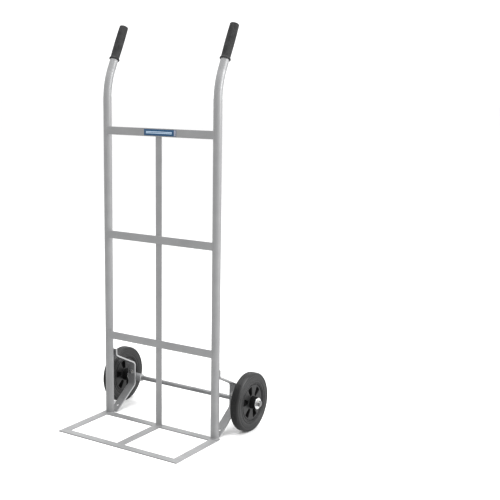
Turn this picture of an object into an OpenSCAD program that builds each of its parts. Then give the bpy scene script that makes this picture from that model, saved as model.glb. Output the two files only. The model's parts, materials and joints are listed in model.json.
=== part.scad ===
// Hand truck: welded tube and flat-bar frame, open toe frame, two spoked wheels on one axle.
// X is to the right along the axle, -Y is the front where the toe reaches out, Z is up.
// The origin is on the floor, under the line of the rails, at mid-width.

/* [Side rails] */
// Distance between the centre lines of the two rails
rail_spacing = 448; // [440:1:460]
// Outside diameter of the rail tube
tube_d = 28.6; // [28:0.2:29]
// Wall thickness of the rail tube
tube_wall = 1.6; // [1.2:0.1:2.5]
// Height at which the rail starts to bend back into the handle
bend_start_z = 1120; // [1100:5:1200]
// Radius of the handle bend at the tube's centre line
bend_r = 220; // [180:5:260]
// Angle of the handle from the vertical
handle_angle = 26.5; // [15:0.5:35]
// Straight length of tube above the bend
handle_length = 156; // [150:1:190]

/* [Grips] */
// Length of the grip along the handle
grip_length = 125; // [110:1:140]
// Outside diameter of the grip
grip_d = 32; // [31.5:0.5:34]
// Diameter of the flange at the grip's lower end
flange_d = 36.5; // [35:0.5:40]
// Thickness of the flange
flange_t = 6; // [4:0.5:8]

/* [Crossbars and centre bar] */
// Thickness of the flat bar in the whole frame
flat_t = 3.2; // [3:0.1:4]
// Height of each crossbar
crossbar_h = 27; // [25:1:30]
// Length of each crossbar
crossbar_length = 436; // [433:1:440]
// Heights of the crossbars' centre lines: lower, middle, top
crossbar_z = [294, 654, 1013];
// Width of the upright centre bar
centre_bar_w = 24; // [20:1:30]

/* [Toe frame] */
// Width of the toe frame over its side bars
toe_width = 490; // [480:1:500]
// Distance from the rail line to the front edge of the toe frame
toe_reach = 254; // [230:1:280]
// Width of each flat bar in the toe frame
toe_bar_w = 28; // [26:1:32]

/* [Wheel brackets] */
// Width of the bracket strap
strap_w = 30; // [28:1:30]
// Thickness of the bracket strap
strap_t = 5; // [4:0.5:5]
// Distance from mid-width to the strap's inner edge
strap_inner_x = 204; // [203:1:206]
// Diameter of the hole low down in the strap
strap_hole_d = 9; // [6:0.5:10]

/* [Axle] */
// Diameter of the axle
axle_d = 16; // [15:0.5:16]
// Distance from the rail line back to the axle
axle_y = 139; // [138:1:145]
// Diameter of the threaded axle ends
axle_end_d = 12; // [10:1:12]
// Diameter of the lug sleeve round the axle
lug_d = 27; // [26:0.5:27]
// Width across the flats of the axle end nut
axle_nut_af = 19; // [17:1:22]

/* [Wheels] */
// Diameter of the tyre
wheel_d = 203.2; // [195:0.1:210]
// Width of the tyre
tyre_w = 32; // [30:1:36]
// Distance from mid-width to the middle plane of each wheel
wheel_x = 272.6; // [271:0.1:275]
// Radius of the tyre's rounded shoulders
shoulder_r = 7; // [5:0.5:14]
// Radius of the seat between tyre and rim
seat_r = 68; // [66:1:72]
// Diameter of the hub
hub_d = 42; // [38:1:44]

/* [Label] */
// Width of the label plate
label_w = 130; // [100:1:150]
// Height of the label plate
label_h = 21; // [18:1:24]

/* [Hidden] */
$fn = 96;

tube_r = tube_d / 2;
rail_x = rail_spacing / 2;
axle_r = axle_d / 2;
axle_z = wheel_d / 2;
cut = 1;                 // how far a cutting shape runs past what it cuts

frame_grey = [0.66, 0.67, 0.68];
zinc = [0.82, 0.83, 0.84];
rubber_black = [0.13, 0.13, 0.14];
rim_black = [0.09, 0.09, 0.10];

// The straight handle starts a little inside the bend and is a hair wider, so that the two
// join in one clean solid
join_overlap = 0.5;
join_step = 0.02;

// Where the grip's lower end sits on the handle
grip_cap_t = 4;
grip_start = handle_length + grip_cap_t - grip_length;
grip_round = 5;          // radius round the grip's closed end

// The flat bars stand behind one another, from the tubes' front towards the back
crossbar_front_y = -tube_r;
centre_bar_front_y = crossbar_front_y + flat_t;
centre_bar_top_z = crossbar_z[2] + crossbar_h / 2 - 3;
toe_rear_y = 2;          // the rails stand on the rear bar's back edge
toe_inner_length = toe_reach + toe_rear_y - 2 * toe_bar_w;

// The strap's front face, from the tab on the rail down to the rail's foot, as [y, z]
lug_r = lug_d / 2;
strap_rail_y = tube_r - 1;
strap_axle_y = axle_y - lug_r - strap_t;
strap_line = [
    [strap_rail_y, 235],
    [strap_rail_y, 210],
    [strap_axle_y, 157],
    [strap_axle_y, 78],
    [strap_rail_y, 3]
];
strap_hole_y = 37;
strap_bend_r = 12;       // radius of each bend on the strap's front face
bend_steps = 6;

// Lug: the sleeve round the axle, and the ear bolted to the strap's back
lug_inner_x_left = 184;  // the left lug reaches further inwards than the right one
lug_inner_x_right = strap_inner_x;
lug_outer_x = 240;
ear_w = 22;
ear_t = 4;
ear_top = 36;            // height of the ear's top above the axle
lug_bolt_rise = 22;      // height of the bolt above the axle
lug_bolt_d = 8;
lug_bolt_x = strap_inner_x + strap_w / 2;
bolt_head_af = 13;
bolt_head_t = 5.3;
bolt_washer_d = 16;
bolt_washer_t = 1.6;
lug_nut_t = 6.5;

// Along the axle, outwards from the lug
washer_t = 2.5;
hub_play = 0.45;
hub_inner_x = lug_outer_x + washer_t + hub_play;
hub_outer_x = 304.6;
shoulder_x = hub_outer_x + hub_play;
axle_nut_t = 10;
axle_end_x = shoulder_x + washer_t + axle_nut_t + 1.5;
inner_washer_d = 30;
outer_washer_d = 39;

// Inside the wheel
bush_r = 12;
bush_length = 20;
running_gap = 0.05;      // radial clearance between bush and axle
rim_half_w = 14;
web_half_t = 2;
pocket_count = 6;
pocket_phase = 18;       // how far the first pocket is turned from straight down
pocket_inner_r = 25;
pocket_outer_r = 56;
pocket_inner_half_w = 6;
pocket_outer_half_w = 13;

label_t = 0.8;
label_offset = 8;        // the label sits a little to the right of mid-width

// A box given by its lowest and highest corners
module block(low, high) {
    translate(low) cube(high - low);
}

// A cylinder along X between two places, centred on the axle
module along_axle(r, from_x, to_x) {
    translate([from_x, axle_y, axle_z])
        rotate([0, 90, 0])
            cylinder(r = r, h = to_x - from_x);
}

// The left piece is the right piece mirrored
module on_left() {
    mirror([1, 0, 0]) children();
}

module on_both_sides() {
    children();
    on_left() children();
}

// ---- Side rails ----

// Puts the handle's axis on Z, with zero at the end of the bend
module at_handle() {
    translate([rail_x, bend_r, bend_start_z])
        rotate([-handle_angle, 0, 0])
            translate([0, -bend_r, 0])
                children();
}

// A round bar along the whole rail; extra lengthens it at both ends
module rail_bar(r, extra) {
    translate([rail_x, 0, flat_t - extra])
        cylinder(r = r, h = bend_start_z - flat_t + extra);
    translate([rail_x, bend_r, bend_start_z])
        rotate([90, 0, -90])
            rotate_extrude(angle = handle_angle)
                translate([bend_r, 0]) circle(r = r);
    at_handle()
        translate([0, 0, -join_overlap])
            cylinder(r = r + join_step, h = handle_length + extra + join_overlap);
}

module rail_right() {
    color(frame_grey)
        difference() {
            rail_bar(tube_r, 0);
            rail_bar(tube_r - tube_wall, cut);
        }
}

module rail_left() {
    on_left() rail_right();
}

// ---- Grips: a sleeve closed at the top with a rounded end, and a flange at the bottom ----

module grip_right() {
    grip_r = grip_d / 2;
    straight = grip_length - grip_round;
    color(rubber_black)
        at_handle()
            translate([0, 0, grip_start])
                difference() {
                    union() {
                        cylinder(r = grip_r, h = straight);
                        cylinder(r = grip_r - grip_round, h = grip_length);
                        translate([0, 0, straight])
                            rotate_extrude()
                                translate([grip_r - grip_round, 0]) circle(r = grip_round);
                        cylinder(r = flange_d / 2, h = flange_t);
                    }
                    translate([0, 0, -cut])
                        cylinder(r = tube_r + join_step, h = grip_length - grip_cap_t + cut);
                }
}

module grip_left() {
    on_left() grip_right();
}

// ---- Crossbars and centre bar ----

// The solid outline of both rails' straight part, which the bars' ends are shaped to
module rail_outlines() {
    on_both_sides()
        translate([rail_x, 0, 0])
            cylinder(r = tube_r, h = bend_start_z);
}

module crossbar(z) {
    half = [crossbar_length / 2, 0, crossbar_h / 2];
    color(frame_grey)
        difference() {
            block(
                [-half[0], crossbar_front_y, z - half[2]],
                [half[0], crossbar_front_y + flat_t, z + half[2]]
            );
            rail_outlines();
        }
}

module crossbar_lower() {
    crossbar(crossbar_z[0]);
}

module crossbar_middle() {
    crossbar(crossbar_z[1]);
}

module crossbar_top() {
    crossbar(crossbar_z[2]);
}

module centre_bar() {
    color(frame_grey)
        block(
            [-centre_bar_w / 2, centre_bar_front_y, flat_t],
            [centre_bar_w / 2, centre_bar_front_y + flat_t, centre_bar_top_z]
        );
}

// ---- Toe frame ----

// A flat bar across the whole toe frame
module toe_cross_bar(front_y) {
    color(frame_grey)
        block([-toe_width / 2, front_y, 0], [toe_width / 2, front_y + toe_bar_w, flat_t]);
}

// A flat bar from the front bar back to the rear bar
module toe_long_bar(middle_x) {
    color(frame_grey)
        translate([middle_x - toe_bar_w / 2, toe_bar_w - toe_reach, 0])
            cube([toe_bar_w, toe_inner_length, flat_t]);
}

module toe_front_bar() {
    toe_cross_bar(-toe_reach);
}

module toe_rear_bar() {
    toe_cross_bar(toe_rear_y - toe_bar_w);
}

module toe_left_bar() {
    toe_long_bar(-toe_width / 2 + toe_bar_w / 2);
}

module toe_right_bar() {
    toe_long_bar(toe_width / 2 - toe_bar_w / 2);
}

module toe_centre_bar() {
    toe_long_bar(0);
}

// ---- Wheel brackets ----

// The direction from a to b, and that direction turned a quarter turn away from the rail
function unit(a, b) = (b - a) / norm(b - a);
function turned(d) = [-d[1], d[0]];

// One bend of the strap at corner b, between a and c: the points of an arc that touches both
// stretches, offset sideways by shift; side is 1 for a bend to the left and -1 to the right
function bend_points(a, b, c, shift) =
    let (
        before = unit(a, b),
        after = unit(b, c),
        turn = asin(cross(before, after)),
        side = sign(turn),
        start = b - before * strap_bend_r * tan(abs(turn) / 2),
        centre = start + side * turned(before) * strap_bend_r,
        r = strap_bend_r - side * shift,
        from = atan2(-side * turned(before)[1], -side * turned(before)[0])
    )
    [for (i = [0:bend_steps]) let (angle = from + turn * i / bend_steps)
        centre + r * [cos(angle), sin(angle)]];

// The strap's whole line from its tab to its foot, shifted sideways by shift
function strap_side(shift) =
    let (
        last = len(strap_line) - 1,
        first_way = unit(strap_line[0], strap_line[1]),
        last_way = unit(strap_line[last - 1], strap_line[last])
    )
    concat(
        [strap_line[0] + turned(first_way) * shift],
        [for (i = [1:last - 1])
            each bend_points(strap_line[i - 1], strap_line[i], strap_line[i + 1], shift)],
        [strap_line[last] + turned(last_way) * shift]
    );

// The strap seen from the side, as an outline in [y, z]
module strap_outline() {
    back = strap_side(strap_t);
    last = len(back) - 1;
    polygon(concat(strap_side(0), [for (i = [last:-1:0]) back[i]]));
}

module wheel_bracket_right() {
    low = strap_line[len(strap_line) - 1];
    before = strap_line[len(strap_line) - 2];
    along = (strap_hole_y - low[0]) / (before[0] - low[0]);
    hole = low + along * (before - low);
    slope = atan2(before[1] - low[1], before[0] - low[0]);
    color(frame_grey)
        difference() {
            translate([strap_inner_x, 0, 0])
                rotate([90, 0, 90])
                    linear_extrude(strap_w) strap_outline();
            rail_outlines();
            block([0, -toe_reach, -tube_d], [rail_spacing, axle_y, flat_t]);
            translate([lug_bolt_x, hole[0], hole[1]])
                rotate([slope, 0, 0])
                    translate([0, 0, -2 * strap_t])
                        cylinder(d = strap_hole_d, h = 4 * strap_t);
            lug_bolt_hole();
        }
}

module wheel_bracket_left() {
    on_left() wheel_bracket_right();
}

// ---- Axle and its lugs ----

// A cylinder along Y at the lug bolt, from one distance behind the rail line to another
module at_lug_bolt(d, from_y, to_y, sides = 96) {
    translate([lug_bolt_x, from_y, axle_z + lug_bolt_rise])
        rotate([-90, 0, 0])
            cylinder(d = d, h = to_y - from_y, $fn = sides);
}

module lug_bolt_hole() {
    at_lug_bolt(lug_bolt_d, strap_axle_y - cut, axle_y + lug_r);
}

module axle_lug(inner_x) {
    ear_y = strap_axle_y + strap_t;
    color(frame_grey)
        difference() {
            union() {
                along_axle(lug_r, inner_x, lug_outer_x);
                translate([lug_bolt_x - ear_w / 2, ear_y, axle_z])
                    cube([ear_w, ear_t, ear_top]);
            }
            along_axle(axle_r, inner_x - cut, lug_outer_x + cut);
            lug_bolt_hole();
        }
}

module axle_lug_right() {
    axle_lug(lug_inner_x_right);
}

module axle_lug_left() {
    on_left() axle_lug(lug_inner_x_left);
}

module lug_bolts() {
    head_y = strap_axle_y - bolt_washer_t;
    across_corners = bolt_head_af / cos(30);
    nut_y = strap_axle_y + strap_t + ear_t;
    color(zinc)
        on_both_sides() {
            at_lug_bolt(across_corners, head_y - bolt_head_t, head_y, 6);
            at_lug_bolt(lug_bolt_d, head_y, nut_y + lug_nut_t + 2);
        }
}

module lug_bolt_washers() {
    color(zinc)
        on_both_sides()
            difference() {
                at_lug_bolt(bolt_washer_d, strap_axle_y - bolt_washer_t, strap_axle_y);
                at_lug_bolt(lug_bolt_d, strap_axle_y - 2 * bolt_washer_t, strap_axle_y + cut);
            }
}

module lug_nuts() {
    nut_y = strap_axle_y + strap_t + ear_t;
    across_corners = bolt_head_af / cos(30);
    color(zinc)
        on_both_sides()
            difference() {
                at_lug_bolt(across_corners, nut_y, nut_y + lug_nut_t, 6);
                at_lug_bolt(lug_bolt_d, nut_y - cut, nut_y + lug_nut_t + cut);
            }
}

module axle() {
    color(frame_grey)
        union() {
            along_axle(axle_r, -shoulder_x, shoulder_x);
            along_axle(axle_end_d / 2, -axle_end_x, axle_end_x);
        }
}

module inner_axle_washers() {
    color(zinc)
        on_both_sides()
            difference() {
                along_axle(inner_washer_d / 2, lug_outer_x, lug_outer_x + washer_t);
                along_axle(axle_r, strap_inner_x, hub_outer_x);
            }
}

module outer_axle_washers() {
    color(zinc)
        on_both_sides()
            difference() {
                along_axle(outer_washer_d / 2, shoulder_x, shoulder_x + washer_t);
                along_axle(axle_end_d / 2, hub_inner_x, axle_end_x);
            }
}

module axle_end_nuts() {
    nut_x = shoulder_x + washer_t;
    color(zinc)
        on_both_sides()
            difference() {
                translate([nut_x, axle_y, axle_z])
                    rotate([0, 90, 0])
                        cylinder(d = axle_nut_af / cos(30), h = axle_nut_t, $fn = 6);
                along_axle(axle_end_d / 2, nut_x - cut, axle_end_x + cut);
            }
}

// ---- Wheels, each turned about the axle ----

// Puts a shape turned about Z onto the right-hand wheel's axle, outer side towards +X
module at_wheel() {
    translate([wheel_x, axle_y, axle_z])
        rotate([0, 90, 0])
            children();
}

module tyre_right() {
    outer_r = wheel_d / 2;
    half = tyre_w / 2;
    color(rubber_black)
        at_wheel()
            rotate_extrude() {
                translate([seat_r, -half])
                    square([outer_r - shoulder_r - seat_r, tyre_w]);
                translate([seat_r, shoulder_r - half])
                    square([outer_r - seat_r, tyre_w - 2 * shoulder_r]);
                for (side = [-1, 1])
                    translate([outer_r - shoulder_r, side * (half - shoulder_r)])
                        circle(r = shoulder_r);
            }
}

module tyre_left() {
    on_left() tyre_right();
}

// The wedge-shaped recess between two spokes
module pocket() {
    polygon([
        [pocket_inner_r, -pocket_inner_half_w],
        [pocket_outer_r, -pocket_outer_half_w],
        [pocket_outer_r, pocket_outer_half_w],
        [pocket_inner_r, pocket_inner_half_w]
    ]);
}

module rim_right() {
    hub_low = hub_inner_x - wheel_x;
    hub_length = hub_outer_x - hub_inner_x;
    color(rim_black)
        at_wheel()
            difference() {
                union() {
                    translate([0, 0, -rim_half_w]) cylinder(r = seat_r, h = 2 * rim_half_w);
                    translate([0, 0, hub_low]) cylinder(d = hub_d, h = hub_length);
                }
                translate([0, 0, hub_low - cut])
                    cylinder(r = bush_r, h = hub_length + 2 * cut);
                for (turn = [0:pocket_count - 1])
                    for (low = [web_half_t, -rim_half_w - cut])
                        rotate([0, 0, pocket_phase + turn * 360 / pocket_count])
                            translate([0, 0, low])
                                linear_extrude(rim_half_w - web_half_t + cut) pocket();
            }
}

module rim_left() {
    on_left() rim_right();
}

// Two plain bushes pressed into the ends of the hub
module hub_bushes_right() {
    color("white")
        for (from_x = [hub_inner_x, hub_outer_x - bush_length])
            difference() {
                along_axle(bush_r, from_x, from_x + bush_length);
                along_axle(axle_r + running_gap, from_x - cut, from_x + bush_length + cut);
            }
}

module hub_bushes_left() {
    on_left() hub_bushes_right();
}

// ---- Label ----

module label_plate() {
    color([0.04, 0.28, 0.52])
        translate([label_offset - label_w / 2, crossbar_front_y - label_t, crossbar_z[2] - label_h / 2])
            cube([label_w, label_t, label_h]);
}

rail_left();
rail_right();
grip_left();
grip_right();
crossbar_top();
crossbar_middle();
crossbar_lower();
centre_bar();
toe_front_bar();
toe_rear_bar();
toe_left_bar();
toe_right_bar();
toe_centre_bar();
wheel_bracket_left();
wheel_bracket_right();
axle();
axle_lug_left();
axle_lug_right();
lug_bolts();
lug_bolt_washers();
lug_nuts();
inner_axle_washers();
outer_axle_washers();
axle_end_nuts();
tyre_left();
tyre_right();
rim_left();
rim_right();
hub_bushes_left();
hub_bushes_right();
label_plate();
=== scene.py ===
import json
import math
import random
from contextlib import contextmanager

import bmesh
import bpy
from mathutils import Matrix, Vector


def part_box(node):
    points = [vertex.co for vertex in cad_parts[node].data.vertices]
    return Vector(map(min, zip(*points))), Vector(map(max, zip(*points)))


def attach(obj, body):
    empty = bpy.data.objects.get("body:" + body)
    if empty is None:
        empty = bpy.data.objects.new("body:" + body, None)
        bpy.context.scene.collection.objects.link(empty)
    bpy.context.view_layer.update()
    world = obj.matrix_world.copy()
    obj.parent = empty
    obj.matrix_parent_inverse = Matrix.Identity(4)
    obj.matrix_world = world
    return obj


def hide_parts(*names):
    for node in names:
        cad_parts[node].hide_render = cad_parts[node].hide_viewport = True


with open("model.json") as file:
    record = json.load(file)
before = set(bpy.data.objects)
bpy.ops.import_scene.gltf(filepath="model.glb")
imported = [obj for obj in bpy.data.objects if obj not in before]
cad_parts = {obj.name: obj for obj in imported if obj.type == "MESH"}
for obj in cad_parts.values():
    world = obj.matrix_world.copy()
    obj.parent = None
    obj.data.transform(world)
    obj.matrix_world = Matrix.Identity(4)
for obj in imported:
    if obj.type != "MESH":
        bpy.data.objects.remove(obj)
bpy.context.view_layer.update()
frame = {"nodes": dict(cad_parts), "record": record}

nodes = frame["nodes"]
MM = 0.001

# ---------------------------------------------------------------- places taken from the frame

SIDES = {"left": -1, "right": 1}
BARS = ["crossbar_top", "crossbar_middle", "crossbar_lower"]


def middle(name):
    low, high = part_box(name)
    return (low + high) / 2


tube_low, tube_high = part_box("rail_right")
TUBE_R = (tube_high.x - tube_low.x) / 2
RAIL_X = (tube_high.x + tube_low.x) / 2
RAIL_FOOT_Z = tube_low.z
axle_middle = middle("axle")
rim_low, rim_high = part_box("rim_right")
SEAT_R = (rim_high.z - rim_low.z) / 2
AXLE_Y = axle_middle.y
AXLE_Z = axle_middle.z


# ---------------------------------------------------------------- mesh building

# A ring with a smaller radius than this is a single point on the axis
POLE_R = 1e-4 * MM


def add_mesh(name, vertices, faces, material, body):
    """A new piece from vertices and faces, riding on a body."""
    mesh = bpy.data.meshes.new(name)
    mesh.from_pydata([tuple(v) for v in vertices], [], faces)
    mesh.validate()
    mesh.update()
    for polygon in mesh.polygons:
        polygon.use_smooth = True
    piece = bpy.data.objects.new(name, mesh)
    bpy.context.scene.collection.objects.link(piece)
    mesh.materials.append(material)
    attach(piece, body)
    return piece


def around(radius, angle, height):
    """A point at an angle about Z."""
    return Vector((radius * math.cos(angle), radius * math.sin(angle), height))


def turned_shell(profile, steps):
    """Vertices and faces of a closed shape turned about Z. profile is a list of functions of the
    angle, each giving (radius, height). A radius of zero is a pole."""
    vertices = []
    rings = []
    for ring_at in profile:
        first = ring_at(0.0)
        if first[0] < POLE_R:
            rings.append([len(vertices)])
            vertices.append(Vector((0, 0, first[1])))
            continue
        ring = []
        for i in range(steps):
            angle = 2 * math.pi * i / steps
            radius, height = ring_at(angle)
            ring.append(len(vertices))
            vertices.append(around(radius, angle, height))
        rings.append(ring)
    faces = []
    pairs = list(zip(rings, rings[1:]))
    if len(rings[0]) > 1 and len(rings[-1]) > 1:
        pairs.append((rings[-1], rings[0]))
    for low, high in pairs:
        for i in range(steps):
            j = (i + 1) % steps
            if len(low) == 1:
                faces.append((low[0], high[j], high[i]))
            elif len(high) == 1:
                faces.append((low[i], low[j], high[0]))
            else:
                faces.append((low[i], low[j], high[j], high[i]))
    return vertices, faces


def plain(radius, height):
    """A ring that is the same all round."""
    return lambda angle: (radius, height)


def rounded(corner_points, steps=5):
    """Rings through (radius, height, rounding) corners. The first and last corners stay sharp."""
    points = []
    count = len(corner_points)
    for i, (radius, height, fillet) in enumerate(corner_points):
        here = Vector((radius, height))
        if fillet <= 0 or i in (0, count - 1):
            points.append(here)
            continue
        before = Vector(corner_points[i - 1][:2])
        after = Vector(corner_points[i + 1][:2])
        back = (before - here).normalized()
        ahead = (after - here).normalized()
        # Two roundings share one stretch, so each takes just under half of it
        reach = min(fillet, 0.49 * (before - here).length, 0.49 * (after - here).length)
        start = here + back * reach
        end = here + ahead * reach
        for k in range(steps + 1):
            t = k / steps
            points.append(start * (1 - t) ** 2 + here * 2 * t * (1 - t) + end * t ** 2)
    return [plain(point.x, point.y) for point in points]


def on_axle(side, x=0.0):
    """Turns Z onto the outward X direction of one side, at a place on the axle."""
    turn = Matrix.Rotation(math.pi / 2 * side, 4, "Y")
    return Matrix.Translation((x * side, AXLE_Y, AXLE_Z)) @ turn


@contextmanager
def editing_mesh(piece):
    editing = bmesh.new()
    editing.from_mesh(piece.data)
    yield editing
    editing.to_mesh(piece.data)
    editing.free()


def face_outwards(piece):
    with editing_mesh(piece) as editing:
        bmesh.ops.recalc_face_normals(editing, faces=editing.faces)


def join_doubles(piece):
    with editing_mesh(piece) as editing:
        bmesh.ops.remove_doubles(editing, verts=editing.verts, dist=0.005 * MM)


def sharpen(piece, degrees):
    """Edges that turn by more than this stay crisp."""
    limit = math.radians(degrees)
    with editing_mesh(piece) as editing:
        for edge in editing.edges:
            edge.smooth = edge.calc_face_angle(0.0) < limit


def joined_shells(name, shells, material, body, sharp_degrees):
    """One piece from turned shells, each (profile, steps, place)."""
    vertices = []
    faces = []
    for profile, steps, place in shells:
        shell_vertices, shell_faces = turned_shell(profile, steps)
        start = len(vertices)
        vertices += [place @ v for v in shell_vertices]
        faces += [tuple(start + i for i in face) for face in shell_faces]
    piece = add_mesh(name, vertices, faces, material, body)
    face_outwards(piece)
    sharpen(piece, sharp_degrees)
    return piece


def ease(t):
    """Smooth step from 0 to 1."""
    t = min(max(t, 0.0), 1.0)
    return t * t * (3 - 2 * t)


# ---------------------------------------------------------------- materials

def start_material(name, colour, roughness, metallic=0.0):
    material = bpy.data.materials.new(name)
    material.use_nodes = True
    tree = material.node_tree
    shader = tree.nodes["Principled BSDF"]
    shader.inputs["Base Color"].default_value = (*colour, 1)
    shader.inputs["Roughness"].default_value = roughness
    shader.inputs["Metallic"].default_value = metallic
    return material, tree, shader


def node(tree, kind, **settings):
    made = tree.nodes.new(kind)
    for key, value in settings.items():
        setattr(made, key, value)
    return made


def object_coordinates(tree, scale=(1, 1, 1)):
    source = node(tree, "ShaderNodeTexCoord")
    mapping = node(tree, "ShaderNodeMapping")
    mapping.inputs["Scale"].default_value = scale
    tree.links.new(source.outputs["Object"], mapping.inputs["Vector"])
    return mapping.outputs["Vector"]


def noise(tree, coordinates, scale, detail):
    made = node(tree, "ShaderNodeTexNoise")
    made.inputs["Scale"].default_value = scale
    made.inputs["Detail"].default_value = detail
    made.inputs["Roughness"].default_value = 0.55
    tree.links.new(coordinates, made.inputs["Vector"])
    return made.outputs["Fac"]


def ramp(tree, value, stops):
    """A colour ramp; each stop is (position, colour or grey)."""
    made = node(tree, "ShaderNodeValToRGB")
    elements = made.color_ramp.elements
    while len(elements) < len(stops):
        elements.new(0.5)
    for element, (position, colour) in zip(elements, stops):
        element.position = position
        if not hasattr(colour, "__len__"):
            colour = (colour, colour, colour)
        element.color = (*colour, 1)
    tree.links.new(value, made.inputs["Fac"])
    return made.outputs["Color"]


def spread(tree, value, low, high):
    """Maps a noise value, which stays mostly between 0.3 and 0.7, onto a range."""
    made = node(tree, "ShaderNodeMapRange")
    made.inputs["From Min"].default_value = 0.3
    made.inputs["From Max"].default_value = 0.7
    made.inputs["To Min"].default_value = low
    made.inputs["To Max"].default_value = high
    tree.links.new(value, made.inputs["Value"])
    return made.outputs["Result"]


def blend_colours(tree, factor, first, second, mode="MIX"):
    made = node(tree, "ShaderNodeMix", data_type="RGBA", blend_type=mode)
    inputs = [socket for socket in made.inputs if socket.enabled]
    for socket, value in zip(inputs, (factor, first, second)):
        if isinstance(value, bpy.types.NodeSocket):
            tree.links.new(value, socket)
        elif hasattr(value, "__len__"):
            socket.default_value = (*value, 1)
        else:
            socket.default_value = value
    return [socket for socket in made.outputs if socket.enabled][0]


def bump(tree, shader, layers):
    """Stacks bump layers, each (height, strength, distance)."""
    normal = None
    for height, strength, distance in layers:
        made = node(tree, "ShaderNodeBump")
        made.inputs["Strength"].default_value = strength
        made.inputs["Distance"].default_value = distance
        tree.links.new(height, made.inputs["Height"])
        if normal:
            tree.links.new(normal, made.inputs["Normal"])
        normal = made.outputs["Normal"]
    tree.links.new(normal, shader.inputs["Normal"])


def satin_paint(name, dark_tone, light_tone, painted_side_tone=None, side_axis="X"):
    """Satin silver-grey coat: fine orange peel, faint mottling, and brighter worn edges. Given a side
    tone, the faces turned along side_axis, either way, take that tone: a painted highlight where it is
    lighter, painted shade where it is darker."""
    material, tree, shader = start_material(name, light_tone, 0.4, 0.25)
    here = object_coordinates(tree)
    mottle = noise(tree, here, 14, 5)
    flecks = noise(tree, here, 2600, 2)
    tone = ramp(tree, mottle, [(0.3, dark_tone), (0.7, light_tone)])
    flake = ramp(tree, flecks, [(0.35, 0.88), (0.65, 1.0)])
    coat = blend_colours(tree, 1.0, tone, flake, "MULTIPLY")
    # Faces turned along side_axis take the side tone: a painted highlight on the brackets, painted
    # shade on the toe bars
    if painted_side_tone:
        coat = blend_colours(tree, turned_along(tree, side_axis), coat, painted_side_tone)
    worn = blend_colours(tree, edge_wear(tree, here), coat, (0.6, 0.6, 0.61))
    tree.links.new(worn, shader.inputs["Base Color"])
    tree.links.new(spread(tree, noise(tree, here, 60, 4), 0.34, 0.48), shader.inputs["Roughness"])
    bump(tree, shader, [
        (noise(tree, here, 750, 2), 0.22, 0.0002),
        (noise(tree, here, 90, 2), 0.1, 0.0006),
    ])
    return material


def turned_along(tree, axis):
    """1 on faces turned along an axis, either way, and 0 on faces turned well away from it."""
    normal = node(tree, "ShaderNodeTexCoord").outputs["Normal"]
    parts = node(tree, "ShaderNodeSeparateXYZ")
    tree.links.new(normal, parts.inputs["Vector"])
    size = node(tree, "ShaderNodeMath", operation="ABSOLUTE")
    tree.links.new(parts.outputs[axis], size.inputs[0])
    # Cosines of the angle off the axis, about 45 degrees and 18 degrees
    share = node(tree, "ShaderNodeMapRange")
    share.inputs["From Min"].default_value = 0.7
    share.inputs["From Max"].default_value = 0.95
    tree.links.new(size.outputs["Value"], share.inputs["Value"])
    return share.outputs["Result"]


def edge_wear(tree, coordinates):
    """Where an edge turns sharply, broken up by noise: 0 on flat faces, up to 1 on a worn edge."""
    geometry = node(tree, "ShaderNodeNewGeometry")
    softened = node(tree, "ShaderNodeBevel", samples=4)
    softened.inputs["Radius"].default_value = 0.9 * MM
    alignment = node(tree, "ShaderNodeVectorMath", operation="DOT_PRODUCT")
    tree.links.new(geometry.outputs["Normal"], alignment.inputs[0])
    tree.links.new(softened.outputs["Normal"], alignment.inputs[1])
    # Cosines of the angle by which softening turns the face, about 6 degrees and 26 degrees
    edge = node(tree, "ShaderNodeMapRange")
    edge.inputs["From Min"].default_value = 0.995
    edge.inputs["From Max"].default_value = 0.9
    tree.links.new(alignment.outputs["Value"], edge.inputs["Value"])
    broken = node(tree, "ShaderNodeMath", operation="MULTIPLY", use_clamp=True)
    tree.links.new(edge.outputs["Result"], broken.inputs[0])
    tree.links.new(spread(tree, noise(tree, coordinates, 180, 4), 0.1, 0.8), broken.inputs[1])
    return broken.outputs["Value"]


def axle_steel():
    """Drawn bar: dull grey with streaks along its length."""
    material, tree, shader = start_material("axle_steel", (0.25, 0.252, 0.256), 0.4, 0.6)
    streaks = noise(tree, object_coordinates(tree, (6, 700, 700)), 1.0, 4)
    stains = noise(tree, object_coordinates(tree), 35, 4)
    tone = ramp(tree, streaks, [(0.3, (0.2, 0.202, 0.206)), (0.7, (0.29, 0.292, 0.296))])
    dull = ramp(tree, stains, [(0.35, 0.82), (0.6, 1.0)])
    tree.links.new(blend_colours(tree, 1.0, tone, dull, "MULTIPLY"), shader.inputs["Base Color"])
    tree.links.new(spread(tree, stains, 0.3, 0.5), shader.inputs["Roughness"])
    bump(tree, shader, [(streaks, 0.15, 0.0001)])
    return material


def zinc_plate(name, shade):
    """Zinc plate: cloudy sheen from faint blue to faint yellow, with fine scratches."""
    material, tree, shader = start_material(name, (shade, shade, shade), 0.24, 1.0)
    here = object_coordinates(tree)
    clouds = noise(tree, here, 120, 4)
    tone = ramp(tree, clouds, [
        (0.3, (shade * 0.88, shade * 0.92, shade * 0.98)),
        (0.5, (shade, shade, shade)),
        (0.7, (shade * 1.02, shade * 0.99, shade * 0.89)),
    ])
    tree.links.new(tone, shader.inputs["Base Color"])
    tree.links.new(spread(tree, noise(tree, here, 420, 3), 0.18, 0.34), shader.inputs["Roughness"])
    bump(tree, shader, [(noise(tree, here, 1500, 3), 0.12, 0.0001)])
    return material


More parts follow.
